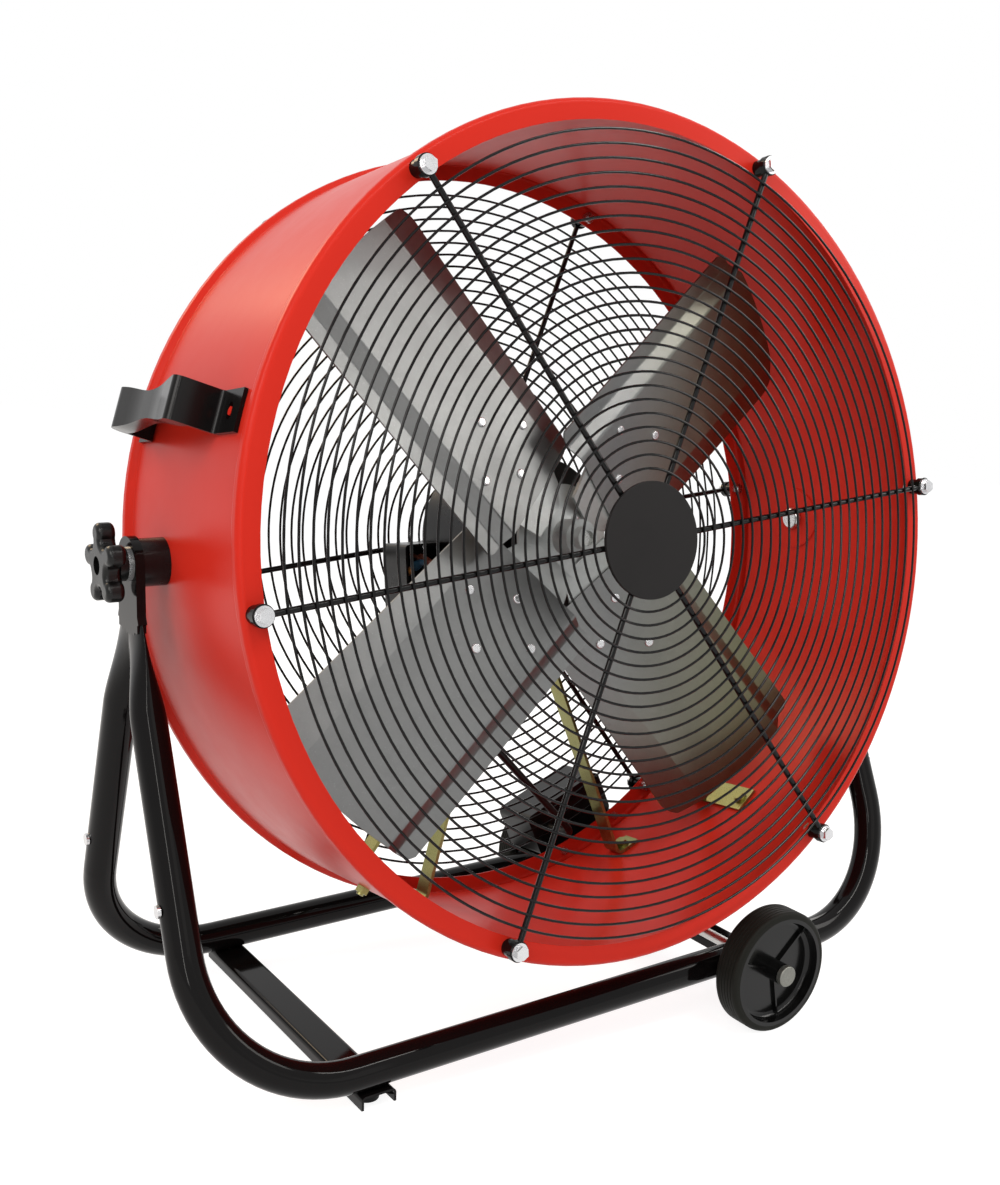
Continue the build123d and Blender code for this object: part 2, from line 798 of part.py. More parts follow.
def handle_rivets():
    """Rivets that hold the handle's feet, set from inside the shell."""
    rivets = []
    for y in handle_feet():
        inner = -shell_wall - seat
        shank = round_bar(handle_rivet_radius, handle_wall - inner, inner)
        head = round_bar(2 * handle_rivet_radius, 2.0, inner - 2.0)
        rivets.append(outward(handle_angle, shell_radius, y) * (shank + head))
    return rivets


# ---------------------------------------------------------------- fan


def blade_section():
    """Section of a blade across its length: rear fold, main face, step and front flange."""
    pitch = radians(blade_pitch)
    fold = radians(blade_pitch + blade_rear_fold)
    step = radians(blade_step_fold - blade_pitch)
    rear_corner = (-blade_main_rear * cos(pitch), blade_main_rear * sin(pitch))
    rear_run = blade_rear_tip - blade_main_rear
    front_corner = (blade_main_front * cos(pitch), -blade_main_front * sin(pitch))
    step_end = (front_corner[0] + blade_step * cos(step), front_corner[1] + blade_step * sin(step))
    return strip(
        [
            (rear_corner[0] - rear_run * cos(fold), rear_corner[1] + rear_run * sin(fold)),
            rear_corner, front_corner, step_end,
            (step_end[0] + blade_flange * cos(pitch), step_end[1] - blade_flange * sin(pitch)),
        ],
        [blade_bend] * 3, blade_wall,
    )


def blade_outline():
    """Outline of a blade seen from in front, along X from the hub, with its tip on the fan's circle."""
    pitch = radians(blade_pitch)
    front_edge = blade_main_front * cos(pitch) + blade_step + blade_flange
    rear_root = blade_rear_root * cos(pitch)
    rear_tip = blade_rear_tip * cos(pitch) - 2.0
    outline = FilletPolyline(
        (blade_root, -rear_root), (fan_radius, -rear_tip), (fan_radius, front_edge),
        (blade_root, front_edge),
        radius=[blade_root_round, blade_tip_round, blade_tip_round, blade_root_round], close=True,
    )
    return make_face(outline)


def rivet_places():
    """Blade rivets as distance out along the blade and offset across it."""
    return [
        (rivet_inner, 0.0), (rivet_outer, 0.0), (rivet_side, rivet_spread), (rivet_side, -rivet_spread)
    ]


def on_blade(index, shape):
    """Sets a piece, drawn with its length along X and its front to -Y, on one blade's arm."""
    angle = blade_clocking + 360 * index / blade_count
    return Rot(0, -angle, 0) * Pos(0, fan_plane, 0) * shape


def pitched(shape):
    """Turns a flat piece, drawn in X and Z, about the blade's length to the blade's pitch."""
    return Rot(blade_pitch, 0, 0) * shape


def rivet_cut(radius, reach):
    """Bars through all the rivet holes of one blade, square to its main face."""
    bars = [rod((along, -reach, across), (along, reach, across), radius) for along, across in rivet_places()]
    return [pitched(bar) for bar in bars]


def blade():
    """Galvanised sheet blade, drawn along X."""
    across = Plane(origin=(0, 0, 0), x_dir=(0, 0, 1), z_dir=(-1, 0, 0))
    sheet = extrude(across * blade_section(), amount=-fan_radius)
    seen_from_front = Plane(origin=(0, -blade_rear_tip, 0), x_dir=(1, 0, 0), z_dir=(0, 1, 0))
    seen = extrude(seen_from_front * mirror_up(blade_outline()), amount=2 * blade_rear_tip)
    sheet = sheet & seen & rod((0, -blade_rear_tip, 0), (0, blade_rear_tip, 0), fan_radius)
    for bar in rivet_cut(rivet_radius + seat, 12.0):
        sheet -= bar
    return sheet


def mirror_up(sketch):
    """Turns a sketch over, because a plane that faces back has its second axis pointing down."""
    return mirror(sketch, about=Plane.XZ)


def spider():
    """Pressed hub plate with an arm behind each blade, pitched as the blades are."""
    back = blade_wall / 2 + seat / 2
    arm = make_face(
        FilletPolyline(
            (arm_start, -arm_half_width * 0.55), (rivet_inner, -arm_half_width),
            (arm_end, -arm_half_width * 0.6), (arm_end, arm_half_width * 0.6),
            (rivet_inner, arm_half_width), (arm_start, arm_half_width * 0.55),
            radius=[0, 16, 14, 14, 16, 0], close=True,
        )
    )
    flat = Plane(origin=(0, back, 0), x_dir=(1, 0, 0), z_dir=(0, 1, 0))
    plate = pitched(extrude(flat * arm, amount=arm_wall))
    for bar in rivet_cut(rivet_radius + seat, 12.0):
        plate -= bar
    body = turned(
        (hub_radius - 1, spider_front), (spider_radius, spider_front + 7.0),
        (spider_radius, spider_front + 7.0 + arm_wall), (hub_radius - 1, spider_front + arm_wall),
    )
    for i in range(blade_count):
        body += on_blade(i, plate)
    body += turned((0, hub_front), (hub_radius, hub_front), (hub_radius, hub_rear), (0, hub_rear))
    body += turned(
        (0, hub_front - nose_length), (nose_radius, hub_front - nose_length), (nose_radius, hub_front + 1),
        (0, hub_front + 1),
    )
    body -= rod((0, hub_front - nose_length - 1, 0), (0, hub_rear + 1, 0), shaft_radius + seat)
    screw = set_screw_line()
    return body - rod(screw[0], screw[1], set_screw_radius + seat)


def set_screw_line():
    """Ends of the hole for the hub's set screw, from the shaft outwards."""
    y = (hub_front + spider_front) / 2
    return polar(shaft_radius - 1, blade_clocking + 45, y), polar(hub_radius + 5, blade_clocking + 45, y)


def set_screw():
    """Set screw that holds the hub on the shaft."""
    y = (hub_front + spider_front) / 2
    angle = blade_clocking + 45
    return rod(polar(shaft_radius + seat, angle, y), polar(hub_radius + 2, angle, y), set_screw_radius)


def blade_rivets():
    """Rivets through every blade and its arm."""
    rivets = []
    front = -blade_wall / 2
    back = blade_wall / 2 + seat / 2 + arm_wall
    for i in range(blade_count):
        for along, across in rivet_places():
            shank = rod((along, front - 0.5, across), (along, back + 0.5, across), rivet_radius)
            head = facing((along, front, across), (0, -1, 0)) * round_bar(rivet_head, rivet_rise)
            head = fillet(head.edges().filter_by(GeomType.CIRCLE).group_by(Axis.Y)[0], rivet_rise * 0.8)
            tail = facing((along, back, across), (0, 1, 0)) * round_bar(rivet_head, 1.2)
            rivets.append(on_blade(i, pitched(shank + head + tail)))
    return rivets


# ---------------------------------------------------------------- motor

core_middle = (motor_front + motor_rear) / 2
shaft_front = hub_front - nose_length + 3.0
shaft_rear = motor_rear + bell_depth - bell_wall - 2.0


def motor_shaft():
    """Fan shaft with the motor's rotor core on it."""
    shaft = rod((0, shaft_front, 0), (0, shaft_rear, 0), shaft_radius)
    half = core_length / 2
    core = rod((0, core_middle - half, 0), (0, core_middle + half, 0), stator_bore - air_gap)
    return shaft + core


def motor_shell():
    """Rolled motor body."""
    body = rod((0, motor_front, 0), (0, motor_rear, 0), motor_radius, motor_radius - motor_wall)
    for y in (front_strap_y, rear_strap_y):
        body -= rod((0, y, -motor_radius + 6), (0, y, -motor_radius - 6), motor_stud_radius + seat)
    return body


def end_bell(face, out):
    """Cast end cover with a seat for its bearing."""
    rim = face + out * bell_depth
    shaft_hole = shaft_radius + 1.0
    cover = turned(
        (shaft_hole, rim), (motor_radius * 0.62, rim), (motor_radius, face + out * bell_wall),
        (motor_radius, face), (motor_radius * 0.58, rim - out * bell_wall),
        (shaft_hole, rim - out * bell_wall),
    )
    seat_start = rim - out * (bell_wall - 1.0)
    seat_end = rim - out * (bell_wall + bearing_width)
    cover += turned(
        (bearing_radius, seat_start), (bearing_radius + 4, seat_start), (bearing_radius + 4, seat_end),
        (bearing_radius, seat_end),
    )
    for i in range(4):
        at = polar(bell_screw_circle, 45 + 90 * i)
        cover -= rod((at.X, face - 20, at.Z), (at.X, face + 20, at.Z), bell_screw_radius + seat)
    return cover


def bearing(face, out):
    """Sleeve bearing in an end cover."""
    rim = face + out * (bell_depth - bell_wall)
    return rod((0, rim, 0), (0, rim - out * bearing_width, 0), bearing_radius, shaft_radius + running_gap)


def bell_screws(face, out):
    """Through-screw heads round an end cover."""
    slope = bell_depth - bell_wall
    share = (motor_radius - bell_screw_circle) / (motor_radius * 0.38)
    top = face + out * (bell_wall + slope * share)
    screws = []
    for i in range(4):
        at = polar(bell_screw_circle, 45 + 90 * i)
        head = facing((at.X, top + out * 1.5, at.Z), (0, out, 0)) * hex_head(4.4, 3.0, 5.0, 1.0)
        shank = rod((at.X, face + out * 1.0, at.Z), (at.X, top + out * 2.0, at.Z), bell_screw_radius)
        screws.append(head + shank)
    return screws


def stator():
    """Laminated stator ring with a coil bundle at each end."""
    half = core_length / 2
    outer = motor_radius - motor_wall
    ring = rod((0, core_middle - half, 0), (0, core_middle + half, 0), outer, stator_bore)
    coils = []
    for out in (-1, 1):
        start = core_middle + out * half
        coils.append(
            rod((0, start, 0), (0, start + out * coil_depth, 0), stator_bore + 4 + coil_thickness,
                stator_bore + 4)
        )
    return ring, coils


def terminal_box():
    """Box on the motor's left side that covers its capacitor and wire joints."""
    x = -motor_radius - terminal_width / 2 + 6.0
    z = -terminal_height / 2 - 2.0
    y = motor_rear - terminal_depth / 2 + 6.0
    box = Pos(x, y, z) * Box(terminal_width, terminal_depth, terminal_height)
    box = fillet(box.edges().filter_by(Axis.Y), 4.0)
    inner = Box(terminal_width - 2 * terminal_wall, terminal_depth, terminal_height - 2 * terminal_wall)
    box -= Pos(x, y - terminal_wall, z) * inner
    box -= rod((0, 0, 0), (0, motor_rear + terminal_depth, 0), motor_radius + seat)
    hole = terminal_exit()
    return box - rod(hole, hole + Vector(0, 0, 10), lead_radius + seat)


def terminal_exit():
    """Where the lead leaves the underside of the terminal box."""
    x = -motor_radius - terminal_width / 2
    y = motor_rear - terminal_depth / 2 + 8.0
    return Vector(x, y, -terminal_height - 2.0 - seat)


def motor_lead():
    """Lead from the terminal box to the control box, through a gap between two guard rings."""
    start = terminal_exit() + Vector(0, 0, terminal_wall + seat)
    gaps_out = int((box_floor - box_height / 2 - first_ring) / ring_pitch) + 0.5
    gap = first_ring + gaps_out * ring_pitch
    down = start - Vector(0, 0, 40)
    low = polar(gap, box_angle - 6, start.Y)
    end = Vector(low.X, box_front + box_wall, low.Z)
    path = FilletPolyline(start, down, low, end, radius=[30, 18])
    tube = sweep(Plane(origin=start, z_dir=(0, 0, -1)) * Circle(lead_radius), path=path)
    return tube, low


# ---------------------------------------------------------------- motor mount


def strap_bolts():
    """Angle and Y of each bolt that holds a mount strap to the shell."""
    bolts = []
    foot_turn = degrees(asin(strap_foot / 2 / shell_radius))
    for sign in (-1, 1):
        bolts.append((-90 + sign * (front_strap_angle + foot_turn), front_foot_end() + strap_width / 2))
        bolts.append((-90 + sign * (rear_strap_angle + foot_turn), rear_strap_y))
    return bolts


def front_foot_end():
    """Y of the front end of the front strap's long feet."""
    return front_strap_y + strap_width / 2 - front_foot_reach


def mount_strap(y, angle, long_feet):
    """V-shaped flat bar from the shell's wall up to the motor base and down to the wall again."""
    wall = shell_radius - shell_wall - seat - strap_wall / 2
    turn = degrees(2 * asin(strap_foot / 2 / wall))
    top = -motor_radius - base_drop - strap_wall / 2
    half = base_half_width - 4.0
    right = [polar(wall, -90 + angle + turn), polar(wall, -90 + angle), Vector(half, 0, top)]
    line = [(p.X, p.Z) for p in right] + [(-p.X, p.Z) for p in reversed(right)]
    front_view = Plane(origin=(0, y, 0), x_dir=(1, 0, 0), z_dir=(0, -1, 0))
    strap = extrude(front_view * strip(line, [strap_bend] * 4, strap_wall), amount=strap_width / 2, both=True)
    if long_feet:
        for sign in (-1, 1):
            middle = -90 + sign * (angle + turn / 2)
            depth = wall * cos(radians(turn / 2))
            reach = Box(front_foot_reach, strap_foot, strap_wall)
            strap += outward(middle, depth, front_foot_end() + front_foot_reach / 2) * reach
    for bolt_angle, bolt_y in strap_bolts():
        strap -= rod(polar(shell_radius - 12, bolt_angle, bolt_y), polar(shell_radius, bolt_angle, bolt_y),
                     mount_bolt_radius + clearance)
    return strap - rod((0, y, top - 10), (0, y, top + 10), motor_stud_radius + clearance)


def strap_fasteners():
    """Bolts from inside each strap foot through the shell, and their nuts outside."""
    bolts, nuts = [], []
    inside = shell_radius - shell_wall - seat - strap_wall - 0.3
    for angle, y in strap_bolts():
        head = facing(polar(inside, angle, y), polar(-1.0, angle)) * hex_head(mount_hex, 4.0, 6.6, 1.2)
        bolts.append(head + rod(polar(inside, angle, y), polar(shell_radius + 7, angle, y),
                                mount_bolt_radius))
        nuts.append(facing(polar(shell_radius + seat, angle, y), polar(1.0, angle))
                    * nut(mount_hex, 5.0, mount_bolt_radius))
    return bolts, nuts


def motor_base():
    """Channel between the straps and the motor, its sides cut to the motor's curve."""
    low = -motor_radius - base_drop
    length = base_rear - base_front
    middle = (base_front + base_rear) / 2
    block = Pos(0, middle, low + 25) * Box(2 * base_half_width, length, 50)
    pocket = Pos(0, middle, low + base_wall + 25) * Box(2 * (base_half_width - base_wall), length + 2, 50)
    base = block - pocket - rod((0, base_front - 1, 0), (0, base_rear + 1, 0), motor_radius + seat)
    for y in (front_strap_y, rear_strap_y):
        base -= rod((0, y, low - 5), (0, y, low + 10), motor_stud_radius + clearance)
    return base


def motor_studs():
    """Studs that clamp the motor, its base and the straps together, with their nuts."""
    studs, nuts = [], []
    under_strap = -motor_radius - base_drop - strap_wall
    for y in (front_strap_y, rear_strap_y):
        top = -motor_radius + motor_wall
        studs.append(rod((0, y, top), (0, y, under_strap - 9), motor_stud_radius))
        nuts.append(facing((0, y, under_strap - seat), (0, 0, -1)) * nut(7.5, 6.0, motor_stud_radius))
    return studs, nuts


# ---------------------------------------------------------------- control box

box_floor = rim_radius - box_drop


def box_frame(y, radius=0.0):
    """Frame on the control box: X back along the drum, Y round it and Z away from the axis."""
    return outward(box_angle, radius, y)


def bracket_screws():
    """Centres of the screws that hold the box's bracket to the rear rim."""
    turn = degrees(asin(box_width * 0.36 / bolt_circle))
    return [polar(bolt_circle, box_angle + sign * turn, rear_depth) for sign in (-1, 1)]


def box_bracket():
    """Angle plate from the rear rim back under the control box."""
    plate_at = box_floor + bracket_wall / 2
    tab_at = rear_depth + seat + bracket_wall / 2
    end = box_front + box_depth
    section = strip(
        [(tab_at, plate_at - bracket_tab), (tab_at, plate_at), (end, plate_at)], [bracket_bend], bracket_wall
    )
    side_view = Plane(origin=(0, 0, 0), x_dir=(0, 1, 0), z_dir=polar(1.0, box_angle - 90))
    plate = extrude(side_view * section, amount=box_width / 2, both=True)
    for screw in bracket_screws():
        reach = Vector(0, 8, 0)
        plate -= rod(screw - reach, screw + reach, box_screw_radius + clearance)
    for angle in guard_angles():
        bolt = polar(bolt_circle, angle, rear_depth)
        plate -= rod(bolt, bolt + Vector(0, 30, 0), bolt_flange_radius + 2.0)
    return plate


def bracket_fasteners():
    """Screws and nuts through the bracket's tab and the rear rim."""
    screws = []
    for screw in bracket_screws():
        start = screw + Vector(0, seat + bracket_wall, 0)
        head = facing(start, (0, 1, 0)) * round_bar(1.8 * box_screw_radius, 2.2)
        tail = screw - Vector(0, shell_wall + 3.5, 0)
        back = facing(screw - Vector(0, shell_wall, 0), (0, -1, 0)) * nut(4.0, 3.0, box_screw_radius)
        screws.append(head + rod(tail, start, box_screw_radius) + back)
    return screws


def control_box():
    """Switch housing, open at the back for its lid."""
    middle = box_front + box_depth / 2
    centre_radius = box_floor - box_height / 2 - seat
    body = Box(box_depth, box_width, box_height)
    body = fillet(body.edges().filter_by(Axis.X), box_corner)
    room = Box(box_depth, box_width - 2 * box_wall, box_height - 2 * box_wall)
    room = fillet(room.edges().filter_by(Axis.X), box_corner - box_wall)
    body = body - Pos(box_wall, 0, 0) * room
    placed = box_frame(middle, centre_radius) * body
    lead_end = motor_lead()[1]
    start = Vector(lead_end.X, box_front - 5, lead_end.Z)
    return placed - rod(start, start + Vector(0, 12, 0), lead_radius + seat)


def lid_back():
    """Y of the outer face of the control box's lid."""
    return box_front + box_depth + lid_thickness + seat


def dial_place():
    """Centre of the switch dial on the lid's outer face."""
    at = box_frame(lid_back(), box_floor - box_height / 2) * Pos(0, dial_offset, 0)
    return at.position


def gland_place():
    """Centre of the cord gland on the lid's outer face."""
    at = box_frame(lid_back(), box_floor - box_height / 2) * Pos(0, gland_offset, 0)
    return at.position


def box_lid():
    """Back cover of the control box, bored for the dial's stem and the cord gland."""
    middle = lid_back() - lid_thickness / 2
    lid = Box(lid_thickness, box_width, box_height)
    lid = fillet(lid.edges().filter_by(Axis.X), box_corner)
    lid = box_frame(middle, box_floor - box_height / 2 - seat) * lid
    reach = Vector(0, 10, 0)
    lid -= rod(dial_place() - reach, dial_place() + reach, dial_stem_radius + hinge_gap)
    return lid - rod(gland_place() - reach, gland_place() + reach, gland_radius * 0.7)


def cord_gland():
    """Cord gland in the lid, with a hexagon collar, a domed nut and its empty bore."""
    at = gland_place()
    back = Vector(0, 1, 0)
    body = rod(at - back * (lid_thickness + 6), at + back * gland_length, gland_radius * 0.7 - seat)
    body += facing(at, back) * extrude(RegularPolygon(gland_radius, 6), amount=4.0)
    dome = rod(at + back * 5.5, at + back * gland_length, gland_radius * 0.92)
    body += fillet(dome.edges().filter_by(GeomType.CIRCLE).group_by(Axis.Y)[-1], 3.0)
    return body - rod(at - back * 20, at + back * (gland_length + 1), gland_bore)


def switch_dial():
    """Rotary switch dial with a finger bar, on its stem."""
    at = dial_place() + Vector(0, 0.3, 0)
    back = Vector(0, 1, 0)
    skirt = rod(at, at + back * dial_height * 0.4, dial_radius)
    skirt = fillet(skirt.edges().filter_by(GeomType.CIRCLE).group_by(Axis.Y)[-1], 1.5)
    bar = facing(at, back) * (
        Pos(0, 0, dial_height / 2) * Box(2 * dial_radius - 3, 2 * dial_grip, dial_height)
    )
    stem = rod(at - back * (lid_thickness + 8), at + back, dial_stem_radius)
    return skirt + bar + stem


def switch_body():
    """Body of the rotary switch inside the control box, bored for the dial's stem."""
    at = dial_place() - Vector(0, lid_thickness + seat, 0)
    body = rod(at, at - Vector(0, 16, 0), 12.0)
    return body - rod(at + Vector(0, 1, 0), at - Vector(0, 17, 0), dial_stem_radius + hinge_gap)


# ---------------------------------------------------------------- nodes

for name, end in (("front", -1), ("rear", 1)):
    nodes[f"{name}_base_tube"] = [on_stand(base_tube(end))]
    nodes[f"{name}_tyre"] = [on_stand(on_wheel(end, tyre()))]
    nodes[f"{name}_wheel_hub"] = [on_stand(on_wheel(end, wheel_hub()))]
nodes["rubber_feet"] = [foot(end) for end in (-1, 1)]
for name, side in (("left", -1), ("right", 1)):
    nodes[f"{name}_yoke"] = [on_stand(yoke(side))]
    nodes[f"{name}_knob_washer"] = [on_drum(knob_washer(side))]
    nodes[f"{name}_knob"] = [on_drum(knob(side))]
nodes["pivot_bolts"] = [on_drum(pivot_bolt(side)) for side in (-1, 1)]
nodes["pivot_spacers"] = [on_drum(pivot_spacer(side)) for side in (-1, 1)]
nodes["pivot_pads"] = [on_drum(pivot_pad(side)) for side in (-1, 1)]
nodes["leg_screws"] = [on_stand(piece) for piece in leg_screws(-1) + leg_screws(1)]
nodes["left_foot_channel"] = [on_stand(channel(left_channel_x))]
nodes["right_cross_channel"] = [on_stand(channel(right_channel_x))]
channel_screw_set = channel_screws(left_channel_x) + channel_screws(right_channel_x)
nodes["channel_screws"] = [on_stand(piece) for piece in channel_screw_set]
nodes["axle"] = [on_stand(axle())]
trims = [axle_trim(end) for end in (-1, 1)]
nodes["axle_washers"] = [on_stand(washer) for washer, cap in trims]
nodes["axle_caps"] = [on_stand(cap) for washer, cap in trims]

nodes["drum_shell"] = [on_drum(drum_shell())]
for fitting in ("guard_standoffs", "guard_bolts", "guard_nuts"):
    nodes[fitting] = []
for name, rim, out in (("front", -front_depth, -1), ("rear", rear_depth, 1)):
    rings, spokes, standoffs, bolts, nuts, ring_y = guard(rim, out)
    nodes[f"{name}_guard_rings"] = [on_drum(ring) for ring in rings]
    nodes[f"{name}_guard_spokes"] = [on_drum(spokes)]
    nodes["guard_standoffs"] += [on_drum(piece) for piece in standoffs]
    nodes["guard_bolts"] += [on_drum(piece) for piece in bolts]
    nodes["guard_nuts"] += [on_drum(piece) for piece in nuts]
    if out < 0:
        nodes["centre_disc"] = [on_drum(badge(ring_y))]
nodes["carry_handle"] = [on_drum(carry_handle())]
nodes["handle_rivets"] = [on_drum(piece) for piece in handle_rivets()]

nodes["fan_blades"] = [on_drum(on_blade(i, blade())) for i in range(blade_count)]
nodes["fan_spider"] = [on_drum(spider())]
nodes["blade_rivets"] = [on_drum(piece) for piece in blade_rivets()]
nodes["hub_set_screw"] = [on_drum(set_screw())]
nodes["motor_shaft"] = [on_drum(motor_shaft())]

nodes["motor_shell"] = [on_drum(motor_shell())]
nodes["bell_screws"] = []
nodes["motor_bearings"] = []
for name, face, out in (("front", motor_front, -1), ("rear", motor_rear, 1)):
    nodes[f"{name}_end_bell"] = [on_drum(end_bell(face, out))]
    nodes["motor_bearings"] += [on_drum(bearing(face, out))]
    nodes["bell_screws"] += [on_drum(piece) for piece in bell_screws(face, out)]
ring, coils = stator()
nodes["stator_core"] = [on_drum(ring)]
nodes["stator_coils"] = [on_drum(coil) for coil in coils]
nodes["terminal_box"] = [on_drum(terminal_box())]
nodes["motor_lead"] = [on_drum(motor_lead()[0])]
nodes["front_mount_strap"] = [on_drum(mount_strap(front_strap_y, front_strap_angle, True))]
nodes["rear_mount_strap"] = [on_drum(mount_strap(rear_strap_y, rear_strap_angle, False))]
nodes["strap_bolts"] = [on_drum(piece) for group in strap_fasteners() for piece in group]
nodes["motor_base"] = [on_drum(motor_base())]
nodes["motor_studs"] = [on_drum(piece) for group in motor_studs() for piece in group]

nodes["box_bracket"] = [on_drum(box_bracket())]
nodes["bracket_screws"] = [on_drum(piece) for piece in bracket_fasteners()]
nodes["control_box"] = [on_drum(control_box())]
nodes["box_lid"] = [on_drum(box_lid())]
nodes["cord_gland"] = [on_drum(cord_gland())]
nodes["switch_body"] = [on_drum(switch_body())]
nodes["switch_dial"] = [on_drum(switch_dial())]

for name, pieces in nodes.items():
    solids = [solid for piece in pieces for solid in piece.solids()]
    shape = solids[0] if len(solids) == 1 else Compound(children=solids)
    export_step(shape, f"parts/{name}.step")
    print(name, len(solids), round(sum(solid.volume for solid in solids) / 1000, 2), "cm3")
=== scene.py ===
"""Looks, light and camera for the tilting drum fan. Metres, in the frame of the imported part."""

import json
from math import cos, pi, radians, sin

import bmesh
import bpy
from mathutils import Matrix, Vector

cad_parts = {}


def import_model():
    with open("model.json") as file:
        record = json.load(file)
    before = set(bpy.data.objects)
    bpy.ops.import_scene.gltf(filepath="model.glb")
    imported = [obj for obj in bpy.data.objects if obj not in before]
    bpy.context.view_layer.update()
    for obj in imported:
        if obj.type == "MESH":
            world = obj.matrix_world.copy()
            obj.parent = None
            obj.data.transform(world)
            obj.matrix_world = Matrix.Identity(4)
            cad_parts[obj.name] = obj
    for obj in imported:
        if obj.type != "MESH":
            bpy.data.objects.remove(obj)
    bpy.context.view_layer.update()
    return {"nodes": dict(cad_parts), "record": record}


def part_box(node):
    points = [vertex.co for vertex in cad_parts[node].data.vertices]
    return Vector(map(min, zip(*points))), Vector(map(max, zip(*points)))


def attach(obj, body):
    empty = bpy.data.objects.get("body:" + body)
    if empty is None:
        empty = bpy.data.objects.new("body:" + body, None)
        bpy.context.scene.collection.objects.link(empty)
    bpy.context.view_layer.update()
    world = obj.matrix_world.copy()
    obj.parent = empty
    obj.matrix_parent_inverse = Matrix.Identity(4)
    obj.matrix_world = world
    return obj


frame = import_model()
nodes = frame["nodes"]
record = frame["record"]
scene = bpy.context.scene
scene.view_settings.view_transform = "Standard"

# ---------------------------------------------------------------- camera, floor, world and lamps

# The photo's view: place in metres, turn in degrees and lens in millimetres.
CAMERA_PLACE = (-0.698, -0.96783, 0.54156)
CAMERA_TURN = (81.854, -4.963, -34.082)
CAMERA_LENS = 40.62

# Strengths: WHITE is what the camera, mirrors and glass meet, and FILL is what lights the object.
WORLD_WHITE = 1.0
WORLD_FILL = 0.5
FLOOR_WHITE = 0.87
FLOOR_FILL = 0.45
FLOOR_GREY = 0.36
FLOOR_SIZE = 30.0

WARM_LIGHT = (1.0, 0.74, 0.46)
PLAIN_LIGHT = (1.0, 0.97, 0.93)
# Degrees, metres and watts.
LIGHTS = {
    # name: azimuth from the front towards the right, elevation, distance, width, height, power, colour
    "key_softbox": (60, 27, 2.2, 0.9, 0.7, 11, PLAIN_LIGHT),
    "left_softbox": (-62, 30, 2.2, 1.0, 0.9, 18, PLAIN_LIGHT),
    "front_panel": (6, 22, 2.6, 1.3, 1.0, 2.2, PLAIN_LIGHT),
    "top_strip": (12, 54, 2.2, 2.2, 0.12, 18, PLAIN_LIGHT),
    "low_strip": (-35, 12, 2.2, 0.1, 1.2, 5, PLAIN_LIGHT),
    "rear_left_softbox": (-150, 34, 2.2, 1.0, 0.7, 17, WARM_LIGHT),
    "rear_right_softbox": (120, 30, 2.2, 0.5, 1.0, 8, PLAIN_LIGHT),
}
# Point that the lamps are aimed at.
AIM = Vector((0.0, 0.0, 0.40))


# ---------------------------------------------------------------- shader helpers

# Width of one band of the wave texture at a scale of 1.
WAVE_BAND = 0.314
WAVE_DISTORTION = 0.4
# Ranges of a noise's values: most of them, and a narrower one that gives clouds with clear edges.
NOISE_RANGE = (0.3, 0.7)
CLOUD_RANGE = (0.35, 0.65)


